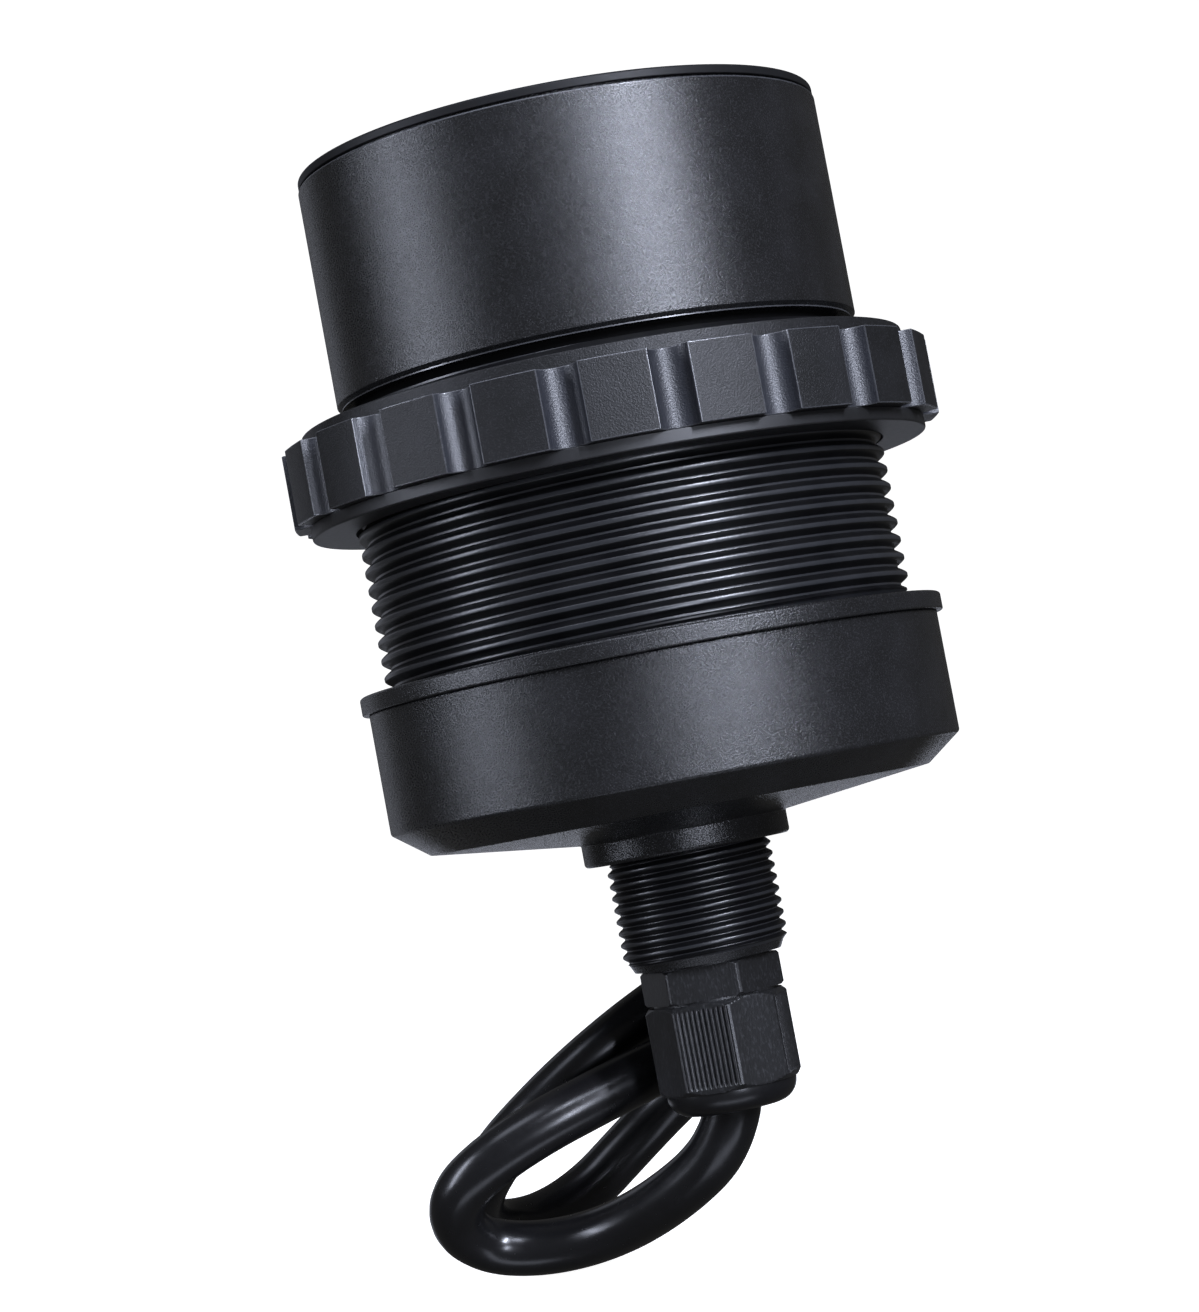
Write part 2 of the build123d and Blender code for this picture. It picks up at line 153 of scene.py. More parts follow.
hex_flat = 10.435
hex_height = 5.6
hex_edge = 0.4
hex_edge_steps = (0, 0.1, 0.2, 0.3, 0.4)
hex_turn = 52.1           # degrees
hex_steps = 720           # points round the hexagon
gland_thread = 9.3
gland_bore = 5.0
stem = 10.4
stem_bore = 8.2
dome_flat = 11.35
dome_foot = 11.0
dome_edge = 0.8
dome_edge_steps = (0.8, 0.6, 0.4, 0.2, 0)
dome_turn = 8.3 - 112.5   # degrees, to the middle of the first side
dome_side_steps = 132     # points on one of the eight sides
dome_round = 3.6
dome_round_steps = 8
dome_length = 3.85
dome_bore = 10.6
mouth_depth = 4.0
mouth_inner = 7.4
mouth_flare = 0.15
mouth_draft = 0.1
mouth_lip = 0.2
throat = 5.2
throat_length = 0.8
throat_flare = 0.2
throat_flare_height = 0.3
seal_size = 7.2
seal_low = 1.2            # from the mouth's level up to the seal
seal_high = 4.0
ribs = 11
rib_pitch = 0.84
rib_depth = 0.6
rib_end = 0.85
rib_round = 0.96          # how much of a half circle a rib's section is
rib_full = 0.8            # the section's own height before it is scaled
corner_edge = 0.15        # bevel along the corners of the gland's hexagon and nut

cable_size = 9.6
route = [                 # from the gland's mouth, in relation to its level
    (0, 0, 0), (0, 0, -2.2), (-0.75, 0.5, -4.7), (-2.6, 1.8, -8.4), (-6, 4.4, -12.7),
    (-12.5, 9.5, -17.2), (-20.5, 17, -21.4), (-29, 22.5, -23.9), (-38.5, 25.5, -24.4), (-47, 25, -22.4),
    (-51.5, 20.5, -17.4), (-50, 15, -11.4), (-43, 12, -6.4), (-33.5, 12, -2.4), (-23.5, 14, 0.6),
    (-14.5, 17, 3.1), (-6, 20.5, 5.1), (1, 26.5, 5.6), (5.5, 35, 5.6), (6, 44, 4.6),
    (1, 51.5, 2.1), (-6, 56.5, -2.4), (-14, 59, -7.9), (-21.5, 59, -13.4), (-29, 57.5, -18.9),
    (-37.5, 54, -22.4), (-45.5, 48.5, -22.4), (-49.5, 41, -18.9), (-48, 33.5, -13.4), (-42.5, 28.5, -6.9),
    (-35.5, 26.5, -1.4), (-27.5, 26.5, 4.1), (-19, 27, 9.1), (-11, 28.5, 13.1), (-4, 31, 16.1),
    (1, 34, 17.1),
]
mouth = low("gland_nut") + mouth_depth


# Meshes

# Places in a piece's list of finishes, on the pieces with a thread and on the ring nut. Flank and gap
# finishes are painted shade, crest and edge finishes painted highlights.
flank_shade_look, crest_highlight_look, gap_look = 1, 2, 3
land_look, groove_look, edge_highlight_look = 0, 1, 2


def rounded(points, rounds, steps=5):
    """A closed outline of (radius, height) with arcs at the corners that rounds gives a radius for."""
    outline = []
    count = len(points)
    for index, point in enumerate(points):
        size = rounds.get(index, 0)
        if not size:
            outline.append(point)
            continue
        corner = Vector(point)
        before = (Vector(points[index - 1]) - corner).normalized()
        after = (Vector(points[(index + 1) % count]) - corner).normalized()
        opening = before.angle(after)
        reach = size / tan(opening / 2)
        middle = corner + (before + after).normalized() * (size / sin(opening / 2))
        start = corner + before * reach - middle
        end = corner + after * reach - middle
        sweep = start.angle_signed(end)
        for step in range(steps + 1):
            turn = -sweep * step / steps
            x = start.x * cos(turn) - start.y * sin(turn)
            y = start.x * sin(turn) + start.y * cos(turn)
            outline.append((middle.x + x, middle.y + y))
    return outline


def circle(size, height, angles):
    return [(size * cos(a), size * sin(a), height) for a in angles]


def even_angles(steps):
    return [2 * pi * step / steps for step in range(steps)]


def add_loops(bm, loops, closed):
    """Joins each loop of points to the next one with a band of faces."""
    rows = [[bm.verts.new([x * mm for x in point]) for point in loop] for loop in loops]
    pairs = list(zip(rows, rows[1:]))
    if closed:
        pairs.append((rows[-1], rows[0]))
    faces = []
    for one, two in pairs:
        count = len(one)
        for i in range(count):
            j = (i + 1) % count
            faces.append(bm.faces.new((one[i], one[j], two[j], two[i])))
    return faces


def finish_mesh(name, bm, looks_of_piece, body, nodes, sharp=32):
    """Cleans the mesh and hands it over as a piece that stands for the CAD nodes."""
    bmesh.ops.remove_doubles(bm, verts=bm.verts, dist=1e-7)
    bmesh.ops.dissolve_degenerate(bm, edges=bm.edges, dist=1e-7)
    bmesh.ops.recalc_face_normals(bm, faces=bm.faces)
    mesh = bpy.data.meshes.new(name)
    bm.to_mesh(mesh)
    bm.free()
    mesh.shade_smooth()
    mesh.set_sharp_from_angle(angle=radians(sharp))
    piece = bpy.data.objects.new(name, mesh)
    bpy.context.scene.collection.objects.link(piece)
    for look in looks_of_piece:
        mesh.materials.append(look)
    weighted = piece.modifiers.new("even_normals", "WEIGHTED_NORMAL")
    weighted.keep_sharp = True
    weighted.weight = 80
    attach(piece, body)
    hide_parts(*nodes)


def turned(name, outline, looks_of_piece, nodes, body="housing", is_second=None):
    """A turned piece. The second finish goes to the faces whose radius and height is_second agrees with."""
    bm = bmesh.new()
    angles = even_angles(lathe_steps)
    for face in add_loops(bm, [circle(r, z, angles) for r, z in outline], True):
        middle = face.calc_center_median() / mm
        if is_second and is_second(hypot(middle.x, middle.y), middle.z):
            face.material_index = 1
    finish_mesh(name, bm, looks_of_piece, body, nodes)


def add_thread(bm, inner, depth, pitch, first, bottom, top, section, steps):
    """A right-handed thread between two levels.

    The section is a list of (share of the depth, share of the pitch). Crests and roots get a lighter
    painted highlight, flanks a darker painted shade.
    """
    turns_low = floor((bottom - first) / pitch) - 1
    turns_high = ceil((top - first) / pitch) + 2
    rows = {}
    for k in range(turns_low * steps, turns_high * steps + 1):
        angle = 2 * pi * k / steps
        row = []
        for height, along in section:
            z = first + pitch * (k / steps + along)
            level = min(max(z, bottom), top)
            r = inner + min(depth * height, level - bottom, top - level)
            row.append(bm.verts.new((r * cos(angle) * mm, r * sin(angle) * mm, level * mm)))
        rows[k] = row
    count = len(section)
    heights = [height for height, along in section]
    pairs = zip(heights, heights[1:] + heights[:1])
    is_bright = [min(pair) > 0.85 or max(pair) < 0.03 for pair in pairs]
    for k in range(turns_low * steps, (turns_high - 1) * steps):
        here = rows[k] + [rows[k + steps][0]]
        there = rows[k + 1] + [rows[k + 1 + steps][0]]
        for j in range(count):
            if here[j].co.z == here[j + 1].co.z == there[j].co.z == there[j + 1].co.z:
                continue
            face = bm.faces.new((here[j], there[j], there[j + 1], here[j + 1]))
            # Crests and roots get the painted highlight, flanks the painted shade.
            face.material_index = crest_highlight_look if is_bright[j] else flank_shade_look
    loose = [v for v in bm.verts if not v.link_faces]
    bmesh.ops.delete(bm, geom=loose, context="VERTS")


def thread_section(crest_flat, root_flat, pitch):
    """Half a root, a flank, a crest with rounded corners, a flank and half a root."""
    half_crest = crest_flat / 2
    half_root = (pitch - root_flat) / 2
    flank = half_root - half_crest
    start = Vector((1 - thread_soft, half_crest + flank * thread_soft))
    corner = Vector((1, half_crest))
    end = Vector((1, half_crest / 2))
    arc = [start * (1 - t) ** 2 + corner * 2 * t * (1 - t) + end * t ** 2 for t in (0, 0.25, 0.5, 0.75, 1)]
    foot = [(0, pitch / 2), (0.02, half_root + 0.03), (0.12, half_root - flank * 0.12)]
    half = foot + [tuple(p) for p in arc]
    rising = [(height, -along / pitch) for height, along in half]
    falling = [(height, along / pitch) for height, along in reversed(half[1:])]
    return rising + [(1, 0)] + falling


# Materials

rough_spread = 0.06       # of the roughness, either way


def material(name, base, second, roughness, specular=0.5, metallic=0.0, patch=120.0, grain=0.0,
             grain_size=900.0, speck=0.0, stretch=(1, 1, 1)):
    """Base colour that drifts towards a second one, with light flecks, grain in relief and uneven gloss.

    The grain is the relief's height in millimetres, and patch and grain_size are noise scales.
    """
    made = bpy.data.materials.new(name)
    made.use_nodes = True
    nodes, links = made.node_tree.nodes, made.node_tree.links
    shader = nodes["Principled BSDF"]
    shader.inputs["Metallic"].default_value = metallic
    shader.inputs["Specular IOR Level"].default_value = specular
    place = nodes.new("ShaderNodeTexCoord")
    mapping = nodes.new("ShaderNodeMapping")
    mapping.inputs["Scale"].default_value = stretch
    links.new(place.outputs["Object"], mapping.inputs["Vector"])

    drift = nodes.new("ShaderNodeTexNoise")
    drift.inputs["Scale"].default_value = patch
    drift.inputs["Detail"].default_value = 6
    links.new(mapping.outputs["Vector"], drift.inputs["Vector"])
    tint = nodes.new("ShaderNodeValToRGB")
    tint.color_ramp.elements[0].position = 0.35
    tint.color_ramp.elements[0].color = (*base, 1)
    tint.color_ramp.elements[1].position = 0.75
    tint.color_ramp.elements[1].color = (*second, 1)
    links.new(drift.outputs["Fac"], tint.inputs["Fac"])

    fine = nodes.new("ShaderNodeTexNoise")
    fine.inputs["Scale"].default_value = grain_size
    fine.inputs["Detail"].default_value = 3
    fine.inputs["Roughness"].default_value = 0.55
    links.new(mapping.outputs["Vector"], fine.inputs["Vector"])
    colour = tint.outputs["Color"]
    if speck:
        contrast = nodes.new("ShaderNodeMapRange")
        contrast.inputs["From Min"].default_value = 0.54
        contrast.inputs["From Max"].default_value = 0.72
        links.new(fine.outputs["Fac"], contrast.inputs["Value"])
        flecks = nodes.new("ShaderNodeMix")
        flecks.data_type = "RGBA"
        flecks.blend_type = "ADD"
        flecks.inputs["B"].default_value = (speck, speck * 1.02, speck * 1.1, 1)
        links.new(contrast.outputs["Result"], flecks.inputs["Factor"])
        links.new(colour, flecks.inputs["A"])
        colour = flecks.outputs["Result"]
    links.new(colour, shader.inputs["Base Color"])

    gloss = nodes.new("ShaderNodeMapRange")
    gloss.inputs["To Min"].default_value = roughness - rough_spread
    gloss.inputs["To Max"].default_value = roughness + rough_spread
    links.new(fine.outputs["Fac"], gloss.inputs["Value"])
    links.new(gloss.outputs["Result"], shader.inputs["Roughness"])
    if grain:
        relief = nodes.new("ShaderNodeBump")
        relief.inputs["Strength"].default_value = 1.0
        relief.inputs["Distance"].default_value = grain * mm
        links.new(fine.outputs["Fac"], relief.inputs["Height"])
        links.new(relief.outputs["Normal"], shader.inputs["Normal"])
    return made


black = (0.0078, 0.0078, 0.0079)
charcoal = (0.013, 0.013, 0.0138)
looks = {
    "moulded_black": dict(base=black, second=charcoal, roughness=0.27, grain=0.075, grain_size=3700,
                          speck=0.016),
    "face_grey": dict(base=black, second=(0.009, 0.0095, 0.011), roughness=0.48, specular=0.2, grain=0.015,
                      grain_size=1400),
    "nut_black": dict(base=black, second=charcoal, roughness=0.42, specular=0.3, grain=0.09,
                      grain_size=3500, speck=0.012),
    "gasket_black": dict(base=black, second=charcoal, roughness=0.45, grain=0.01, grain_size=1200),
    "gland_black": dict(base=black, second=charcoal, roughness=0.36, grain=0.035, grain_size=2800,
                        speck=0.015, stretch=(1, 1, 0.4)),
    "seal_black": dict(base=black, second=charcoal, roughness=0.5, grain=0.01),
    "cable_black": dict(base=(0.006, 0.006, 0.0065), second=(0.009, 0.009, 0.0095), roughness=0.25,
                        grain=0.006, grain_size=700),
    "core_insulation": dict(base=(0.45, 0.12, 0.05), second=(0.5, 0.15, 0.07), roughness=0.35, grain=0.004),
    "ceramic": dict(base=(0.75, 0.71, 0.6), second=(0.85, 0.8, 0.7), roughness=0.4, grain=0.01),
    "matching_resin": dict(base=(0.45, 0.42, 0.34), second=(0.6, 0.56, 0.46), roughness=0.55, grain=0.02),
    "backing_resin": dict(base=(0.08, 0.08, 0.08), second=(0.13, 0.13, 0.13), roughness=0.6, grain=0.02),
    "cork": dict(base=(0.36, 0.22, 0.12), second=(0.6, 0.42, 0.26), roughness=0.85, grain=0.1,
                 grain_size=400),
    "foam": dict(base=(0.12, 0.12, 0.12), second=(0.2, 0.2, 0.2), roughness=0.9, grain=0.08,
                 grain_size=800),
    "probe_steel": dict(base=(0.55, 0.55, 0.57), second=(0.65, 0.65, 0.67), roughness=0.3, metallic=1.0),
    "board_green": dict(base=(0.02, 0.16, 0.06), second=(0.04, 0.24, 0.09), roughness=0.35, grain=0.01,
                        patch=900),
    "spring_steel": dict(base=(0.45, 0.45, 0.47), second=(0.55, 0.55, 0.57), roughness=0.35, metallic=1.0),
    "ferrite": dict(base=(0.05, 0.05, 0.055), second=(0.09, 0.09, 0.1), roughness=0.5, grain=0.02),
    "copper_winding": dict(base=(0.5, 0.22, 0.1), second=(0.7, 0.33, 0.16), roughness=0.35, metallic=1.0,
                           stretch=(1, 1, 30)),
    "capacitor_sleeve": dict(base=(0.03, 0.04, 0.12), second=(0.05, 0.06, 0.16), roughness=0.35,
                             grain=0.004),
    "chip_black": dict(base=(0.02, 0.02, 0.02), second=(0.03, 0.03, 0.03), roughness=0.5, grain=0.01),
    "plug_white": dict(base=(0.7, 0.7, 0.66), second=(0.8, 0.8, 0.76), roughness=0.45, grain=0.006),
    "terminal_green": dict(base=(0.04, 0.25, 0.1), second=(0.06, 0.32, 0.14), roughness=0.45, grain=0.006),
}
materials = {slot: material(slot, **look) for slot, look in looks.items()}
# Glossier grooves, with a lighter, bluer base colour that paints a sheen.
groove_gloss_and_sheen = material("nut_groove", base=(0.011, 0.012, 0.016), second=(0.017, 0.0185, 0.024),
                        roughness=0.42, specular=0.75, grain=0.09, grain_size=3500)
# Lighter base colour for edges and bevels: a painted highlight.
edge_painted_highlight = material("painted_edge_highlight", base=(0.04, 0.041, 0.045), second=(0.06, 0.062, 0.067), roughness=0.27,
                     specular=0.9)
# Darker flanks are painted shade; the lighter crests and roots below are a painted highlight.
flank_painted_shade = material("thread_flank_painted_shade", base=(0.003, 0.003, 0.0035), second=black, roughness=0.36,
                       specular=0.3)
thread_crest_painted_highlight = material("thread_crest_painted_highlight", base=(0.016, 0.017, 0.019), second=(0.024, 0.025, 0.028),
                        roughness=0.32, specular=0.6, grain=0.02, grain_size=1800)
gap_black = material("gap_shadow", base=(0.002, 0.002, 0.002), second=(0.003, 0.003, 0.003),
                     roughness=0.8, specular=0.05)
dome_satin = material("gland_dome", base=(0.005, 0.005, 0.006), second=black, roughness=0.3, grain=0.004)
barrel_looks = [materials["moulded_black"], flank_painted_shade, thread_crest_painted_highlight, gap_black]

# The CAD nodes that no piece stands for show their own slot's finish
for part in frame["record"]["subparts"]:
    node = frame["nodes"][part["node"]]
    if not node.data.materials:
        node.data.materials.append(None)
    for place in node.material_slots:
        place.material = materials[part["material_slot"]]


# Head

def make_face():
    outer = radius("sensing_face")
    top = high("sensing_face")
    bottom = low("sensing_face")
    rim = top - rim_height
    outline = [(0, bottom), (spigot, bottom), (spigot, rim), (outer, rim), (outer, top), (0, top)]
    turned("sensing_face_disc", rounded(outline, {3: small_round, 4: face_edge}), [materials["face_grey"]],
           ["sensing_face"])


def make_head():
    outer = radius("head_shell")
    bottom, top = low("head_shell"), high("head_shell")
    under = top - shell_groove_height
    inner = outer - shell_wall
    foot = outer - shell_low_edge
    groove = outer - shell_groove
    outline = [
        (inner, bottom), (foot, bottom), (foot, bottom + shell_low_band), (outer, bottom + shell_low_edge),
        (outer, under), (groove, under), (groove, top), (inner, top),
    ]

    # The head's upper edge under the face groove and the band at its lower bevel get the painted edge
    # highlight.
    def on_edge(r, z):
        return groove < r and (z > under - shell_top_edge or z < bottom + shell_low_band)

    turned("head_casing", rounded(outline, {3: small_round, 4: shell_top_edge}),
           [materials["moulded_black"], edge_painted_highlight], ["head_shell"], is_second=on_edge)


# Threaded body

def make_body():
    inner = crest - thread_depth
    lip = radius("threaded_body")
    lip_low = high("rear_cap")
    seat = low("head_shell")
    outline = rounded([
        (inner, thread_low), (inner, 0), (lip, 0), (lip, lip_low), (skirt, lip_low), (skirt, skirt_end),
        (bore, skirt_end), (bore, floor_low), (0, floor_low), (0, high("threaded_body")),
        (spigot, high("threaded_body")), (spigot, seat), (undercut, seat), (undercut, thread_high),
        (inner, thread_high),
    ], {2: lip_edge, 3: lip_low_edge})
    bm = bmesh.new()
    angles = even_angles(lathe_steps)
    faces = add_loops(bm, [circle(r, z, angles) for r, z in outline], False)
    for face in faces:
        middle = face.calc_center_median() / mm
        # The undercut's faces get the near-black gap finish: painted shade in the recess.
        in_gap = thread_high - tolerance < middle.z < seat + tolerance
        if in_gap and hypot(middle.x, middle.y) > spigot:
            face.material_index = gap_look
    section = thread_section(thread_crest_flat, thread_root_flat, thread_pitch)
    add_thread(bm, inner, thread_depth, thread_pitch, thread_start, thread_low, thread_high, section,
               lathe_steps)
    finish_mesh("threaded_barrel", bm, barrel_looks, "housing", ["threaded_body"])


# Ring nut and gasket

def nut_outline(inset):
    """Points of one loop round the nut, at a distance inside its outline, and the finish after each, with
    painted highlights on the groove edges.
    """
    land = nut_land - inset
    centre = nut_land - nut_groove_depth + nut_groove
    size = nut_groove + inset
    half = pi / nut_lands
    near = centre * cos(half) - land
    reach = (size ** 2 - near ** 2) ** 0.5
    edge = centre * sin(half) - reach
    start = atan2(-reach, -near) - half + 2 * pi
    sweep = 2 * pi - 2 * start
    arc = [start + sweep * step / nut_groove_steps for step in range(nut_groove_steps + 1)]
    to_groove = Matrix.Rotation(half, 2)
    to_next = Matrix.Rotation(2 * half, 2)

    def on_groove(a):
        return to_groove @ Vector((centre + size * cos(a), size * sin(a)))

    groove = [on_groove(a) for a in arc]
    shift = nut_edge / size
    corners = [on_groove(arc[0] - shift), on_groove(arc[-1] + shift)]
    half_land = edge - nut_edge
    ends = [Vector((land, half_land)), to_next @ Vector((land, -half_land))]
    crown = [Vector((land + nut_crown * (1 - t * t), t * half_land)) for t in nut_crown_steps]
    soft = [groove[i] * 0.5 + (end + corner) * 0.25 for i, end, corner in zip((0, -1), ends, corners)]
    period = [*crown, ends[0], soft[0], corners[0], *groove[2:-2], corners[1], soft[1], ends[1]]
    first, last = len(crown), len(period) - 1
    edges = (first, first + 1, last - 2, last - 1)
    # Groove faces get the glossier finish, whose bluer base colour is a painted sheen.
    finishes = [groove_look if first < i < last else land_look for i in range(len(period))]
    # The corners between lands and grooves get the painted edge highlight.
    for i in edges:
        finishes[i] = edge_highlight_look
    points = []
    for index in range(nut_lands):
        turn = Matrix.Rotation(radians(nut_turn) + (2 * index + 1) * half, 2)
        points += [turn @ point for point in period]
    return points, finishes * nut_lands


def make_nut():
    bottom, top = low("ring_nut"), high("ring_nut")
    ring_top = top - collar_height
    soft = [(nut_edge * (1 - sin(a)), nut_edge * (1 - cos(a))) for a in nut_edge_turns]
    outline, finishes = nut_outline(0)
    angles = [atan2(point.y, point.x) for point in outline]
    loops = [circle(nut_bore, bottom, angles)]
    first_side = len(loops)
    for inset, rise in soft:
        loops.append([(p.x, p.y, bottom + rise) for p in nut_outline(inset)[0]])
    for inset, rise in reversed(soft):
        loops.append([(p.x, p.y, ring_top - rise) for p in nut_outline(inset)[0]])
    last_side = len(loops)
    loops.append(circle(collar, ring_top, angles))
    loops += [circle(collar - inset, top - rise, angles) for inset, rise in reversed(soft)]
    loops.append(circle(nut_bore + nut_mouth, top, angles))
    loops.append(circle(nut_bore, top - nut_mouth, angles))
    bm = bmesh.new()
    faces = add_loops(bm, loops, True)
    count = len(angles)
    bevel = len(soft) - 1
    top_bevel = last_side - 1 - bevel
    for index, face in enumerate(faces):
        row, column = divmod(index, count)
        # The toothed ring's lower and upper bevels get the painted edge highlight.
        if first_side <= row < first_side + bevel or top_bevel <= row < last_side - 1:
            face.material_index = edge_highlight_look
        elif row == first_side + bevel:
            face.material_index = finishes[column]
    finish_mesh("grip_nut", bm, [materials["nut_black"], groove_gloss_and_sheen, edge_painted_highlight], "nut",
                ["ring_nut"])


def make_gasket():
    bottom, top = low("nut_gasket"), high("nut_gasket")
    outer = radius("nut_gasket")
    outline = [(nut_bore, bottom), (outer, bottom), (outer, top), (nut_bore, top)]
    turned("sealing_washer", rounded(outline, {1: gasket_edge, 2: small_round}),
           [materials["gasket_black"]], ["nut_gasket"], body="washer")


# Rear cap

def make_cap():
    outer = radius("rear_cap")
    top, bottom = high("rear_cap"), low("rear_cap")
    rise = tan(radians(cap_slope))
    inner = neck - neck_depth
    hub = cap_low - (outer - cap_chamfer - flange) * rise
    flange_low = hub - flange_length
    thread_end = bottom + neck_end_edge
    inner_low = cap_low + cap_end_wall
    inner_wall = outer - cap_wall
    shelf = skirt_end - skirt_gap
    passage_level = inner_low - (outer - cap_chamfer - passage) * rise
    gland_top = high("gland_body")
    outline = rounded([
        (inner, thread_end), (inner - neck_end_inset, bottom), (gland_hole, bottom),
        (gland_hole, gland_top), (passage, gland_top), (passage, passage_level),
        (outer - cap_chamfer, inner_low), (inner_wall, inner_low + cap_inner_bevel), (inner_wall, shelf),
        (cap_bore, shelf), (cap_bore, top), (outer, top), (outer, cap_corner),
        (outer - cap_chamfer, cap_low), (flange, hub), (flange, flange_low), (inner, flange_low),
    ], {11: cap_top_edge, 12: cap_soft_edge, 13: cap_soft_edge, 14: hub_round, 15: flange_edge})
    bm = bmesh.new()
    angles = even_angles(lathe_steps)
    add_loops(bm, [circle(r, z, angles) for r, z in outline], False)
    section = thread_section(neck_crest_flat, neck_root_flat, neck_pitch)
    add_thread(bm, inner, neck_depth, neck_pitch, neck_start, thread_end, flange_low, section, lathe_steps)
    finish_mesh("rear_cover", bm, barrel_looks, "housing", ["rear_cap"])


# Gland

def polygon_radius(angle, sides, flat):
    """Distance from the centre to a regular polygon's side."""
    part = 2 * pi / sides
    return flat / cos((angle + part / 2) % part - part / 2)


def make_gland_body():
    """Hexagon with the part that goes up into the neck and the stem under the gland's nut."""
    top = low("gland_gasket")
    bottom = top - hex_height
    corner = hex_flat / cos(pi / 6) - corner_edge
    angles = even_angles(hex_steps)
    turn = radians(hex_turn)
    places = [a + turn for a in angles]

    def hexagon(step, level):
        limit = corner - hex_edge + step
        sizes = [min(polygon_radius(a + pi / 6, 6, hex_flat), limit) for a in angles]
        return [(r * cos(a + turn), r * sin(a + turn), level) for r, a in zip(sizes, angles)]

    foot = low("gland_body")
    head = high("gland_body")
    claw = high("gland_claw")
    upper = [(gland_bore, head), (gland_thread, head), (gland_thread, top)]
    lower = [(stem, bottom), (stem, foot), (stem_bore, foot), (stem_bore, claw), (gland_bore, claw)]
    loops = [circle(r, z, places) for r, z in upper]
    loops += [hexagon(step, top - step) for step in hex_edge_steps]
    loops += [hexagon(step, bottom + step) for step in reversed(hex_edge_steps)]
    loops += [circle(r, z, places) for r, z in lower]
    bm = bmesh.new()
    add_loops(bm, loops, True)
    finish_mesh("gland_hexagon", bm, [materials["gland_black"]], "housing", ["gland_body"])


def make_gland_nut():
    """Octagon with bevelled corners, ribs on every second side, and a dome that opens towards the cable."""
    bottom, top = low("gland_nut"), high("gland_nut")
    dome_low = bottom + dome_length
    corner = dome_flat / cos(pi / 8) - corner_edge
    half_side = dome_flat * tan(pi / 8)
    across = [half_side * (2 * step / dome_side_steps - 1) for step in range(dome_side_steps)]
    places = [(side, t) for side in range(8) for t in across]
    turn = radians(dome_turn)
    angles = [turn + side * pi / 4 + atan2(t, dome_flat) for side, t in places]

    def octagon(limit, level, cut):
        loop = []
        for (side, t), angle in zip(places, angles):
            flat = dome_flat
            if side % 2 == 0 and abs(t) < ribs * rib_pitch / 2:
                from_middle = 2 * abs(t / rib_pitch - round(t / rib_pitch))
                flat -= cut * (1 - (1 - rib_round * from_middle ** 2) ** 0.5) / rib_full
            size = min(hypot(flat, t), limit)
            loop.append((size * cos(angle), size * sin(angle), level))
        return loop

    high_rib, low_rib = top - rib_end, dome_low + rib_end
    loops = [circle(dome_bore, top, angles)]
    loops += [octagon(corner - step, top - dome_edge + step, 0) for step in dome_edge_steps]
    loops += [octagon(corner, high_rib, 0), octagon(corner, high_rib - rib_depth, rib_depth)]
    loops += [octagon(corner, low_rib + rib_depth, rib_depth), octagon(corner, low_rib, 0)]
    loops += [octagon(corner - step, dome_low + dome_edge - step, 0) for step in reversed(dome_edge_steps)]
    loops.append(circle(dome_foot, dome_low, angles))
    for step in range(dome_round_steps + 1):
        a = pi / 2 * step / dome_round_steps
        size = dome_foot - dome_round * (1 - cos(a))
        loops.append(circle(size, bottom + dome_round * (1 - sin(a)), angles))
    narrow = mouth - throat_length
    inside = [
        (mouth_inner + mouth_flare, bottom), (mouth_inner - mouth_draft, bottom + mouth_lip),
        (throat + throat_flare, narrow), (throat, narrow + throat_flare_height), (throat, mouth + seal_low),
        (seal_size, mouth + seal_low), (dome_bore, mouth + seal_high),
    ]
    loops += [circle(r, z, angles) for r, z in inside]
    bm = bmesh.new()
    for face in add_loops(bm, loops, True):
        if face.calc_center_median().z / mm < dome_low - tolerance:
            face.material_index = 1
    finish_mesh("gland_dome_nut", bm, [materials["gland_black"], dome_satin], "housing",
                ["gland_nut"], sharp=28)


# Cable

def make_cable():
    curve = bpy.data.curves.new("sheathed_cable", "CURVE")
    curve.dimensions = "3D"
    curve.resolution_u = 12
    curve.bevel_depth = cable_size / 2 * mm
    curve.bevel_resolution = 10
    curve.use_fill_caps = True
    line = curve.splines.new("NURBS")
    line.points.add(len(route) - 1)
    for point, (x, y, z) in zip(line.points, route):
        point.co = (x * mm, y * mm, (z + mouth) * mm, 1)
    line.order_u = 3
    line.use_endpoint_u = True
    curve.materials.append(materials["cable_black"])
    cable = bpy.data.objects.new("sheathed_cable", curve)
    bpy.context.scene.collection.objects.link(cable)
    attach(cable, "housing")
    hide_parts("cable")


make_face()
make_head()
make_body()
make_nut()
make_gasket()
make_cap()
make_gland_body()
make_gland_nut()
make_cable()


# Camera

lens = 88.8               # for the 36 mm side along the picture's height
distance = 545.5 * mm
eye_level = -27.3 * mm
pitch = radians(2.87)
yaw = radians(0.90)
roll = radians(-10.57)
camera_data = bpy.data.cameras.new("camera")
camera_data.lens = lens
camera_data.sensor_width = 36
camera_data.clip_start = 0.01
camera_data.clip_end = 50
camera = bpy.data.objects.new("camera", camera_data)
bpy.context.scene.collection.objects.link(camera)
aim = Euler((pi / 2 + pitch, 0, yaw), "XYZ").to_matrix() @ Matrix.Rotation(roll, 3, "Z")
camera.matrix_world = Matrix.Translation((0, -distance, eye_level)) @ aim.to_4x4()
bpy.context.scene.camera = camera


# Light, floor and background

light_colour = (0.79, 0.84, 1.0)
light_target = Vector((0, 0, 0.01))
light_distance = 1.2
softboxes = [             # name, azimuth and elevation in degrees, width, height and power
    ("key_high", 35.5, 22, 0.09, 0.4, 20),
    ("key_low", 17, -4, 0.1, 0.3, 4.5),
    ("left", -73, 14, 0.16, 0.7, 6.5),
    ("left_edge", -150, 5, 0.3, 1.3, 0.5),
    ("top", 0, 64, 1.8, 0.4, 8),
    ("front", 10, 38, 0.35, 0.15, 4),
    ("below", 0, -60, 1.2, 0.3, 2),
    ("behind", 180, -13, 0.7, 0.12, 0.35),
]


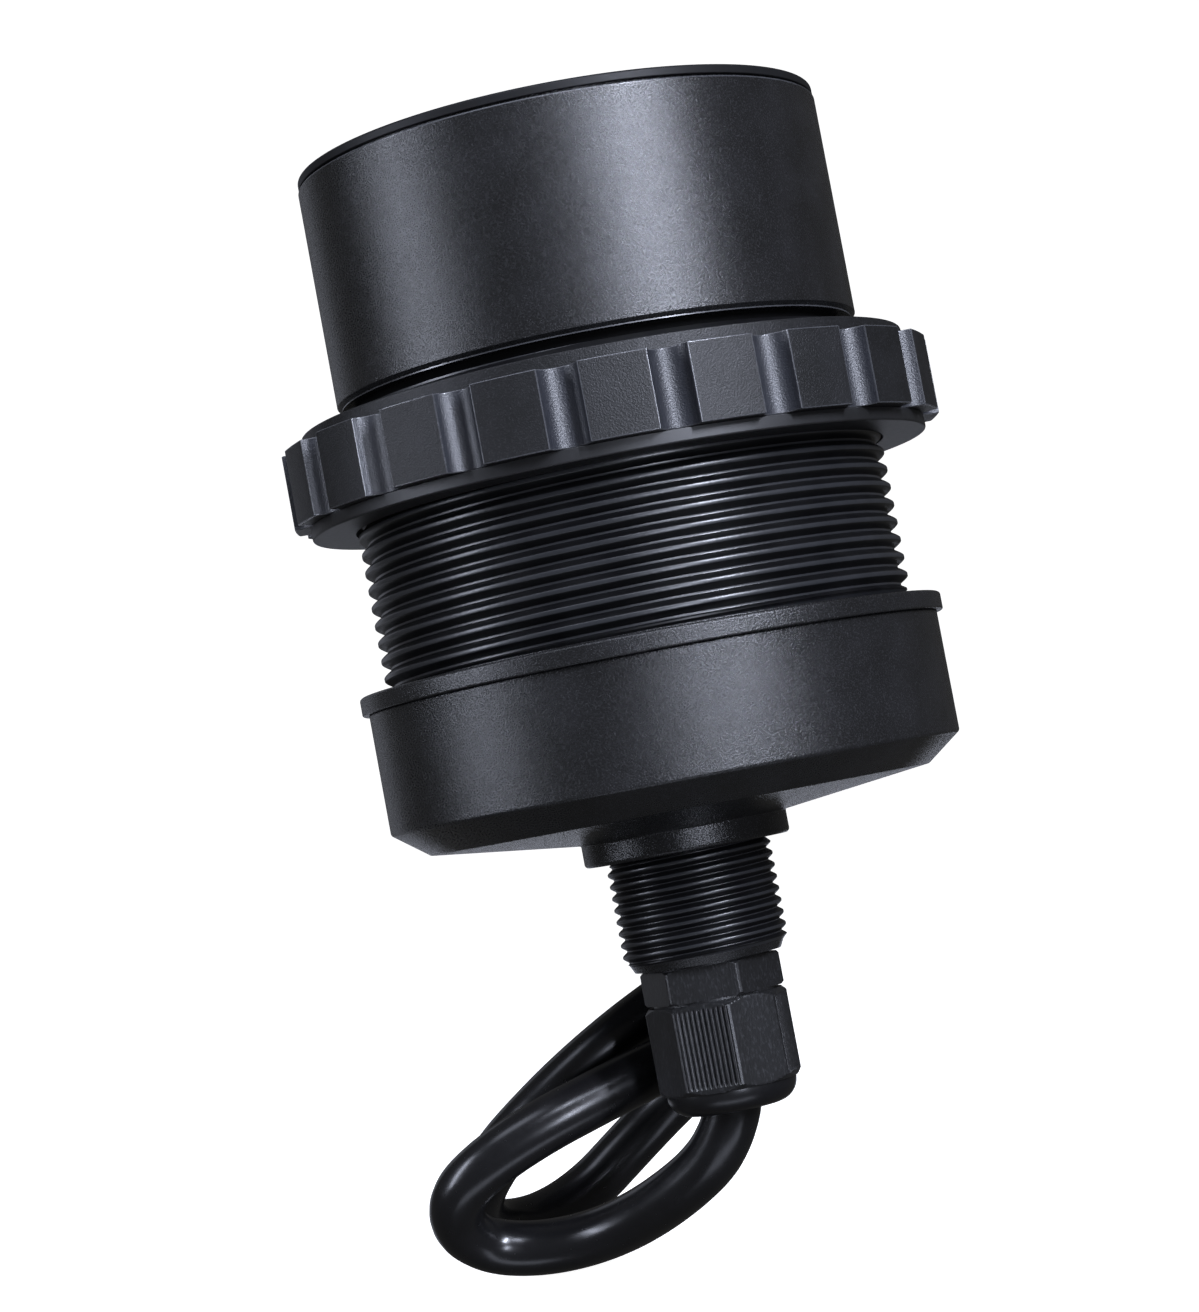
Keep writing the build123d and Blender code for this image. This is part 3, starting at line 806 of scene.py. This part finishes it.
def softbox(name, azimuth, elevation, width, height, power):
    """Area light that faces the object. Azimuth 0 is at the camera's side and grows to the right."""
    data = bpy.data.lights.new(name, "AREA")
    data.color = light_colour
    data.shape = "RECTANGLE"
    data.size, data.size_y = width, height
    data.energy = power
    light = bpy.data.objects.new(name, data)
    bpy.context.scene.collection.objects.link(light)
    a, e = radians(azimuth), radians(elevation)
    way = Vector((sin(a) * cos(e), -cos(a) * cos(e), sin(e)))
    light.location = light_target + way * light_distance
    light.rotation_euler = way.to_track_quat("Z", "Y").to_euler()


for settings in softboxes:
    softbox(*settings)

bpy.context.scene.view_settings.view_transform = "Standard"
world = bpy.data.worlds.new("studio")
bpy.context.scene.world = world
world.use_nodes = True
tree = world.node_tree
tree.nodes.clear()
output = tree.nodes.new("ShaderNodeOutputWorld")
around = tree.nodes.new("ShaderNodeBackground")
around.inputs["Color"].default_value = (1, 0.98, 0.95, 1)
around.inputs["Strength"].default_value = 0.06
tree.links.new(around.outputs["Background"], output.inputs["Surface"])

white = bpy.data.materials.new("studio_white")
white.use_nodes = True
white_shader = white.node_tree.nodes["Principled BSDF"]
white_shader.inputs["Base Color"].default_value = (0.9, 0.9, 0.9, 1)
white_shader.inputs["Emission Color"].default_value = (1, 1, 1, 1)
white_shader.inputs["Emission Strength"].default_value = 1


def surround(name, bm):
    """Part of the white studio, which is only looked at and throws no light on the object."""
    mesh = bpy.data.meshes.new(name)
    bm.to_mesh(mesh)
    bm.free()
    mesh.materials.append(white)
    item = bpy.data.objects.new(name, mesh)
    bpy.context.scene.collection.objects.link(item)
    item.visible_diffuse = False
    item.visible_glossy = False
    item.visible_transmission = False
    item.visible_shadow = False


room = 6.0
floor_gap = 0.0005        # below the CAD model's lowest point
ground = bmesh.new()
bmesh.ops.create_circle(ground, cap_ends=True, segments=64, radius=room)
bmesh.ops.translate(ground, verts=ground.verts, vec=(0, 0, cad_box[0].z - floor_gap))
surround("floor", ground)
dome = bmesh.new()
bmesh.ops.create_icosphere(dome, subdivisions=4, radius=room)
surround("backdrop", dome)
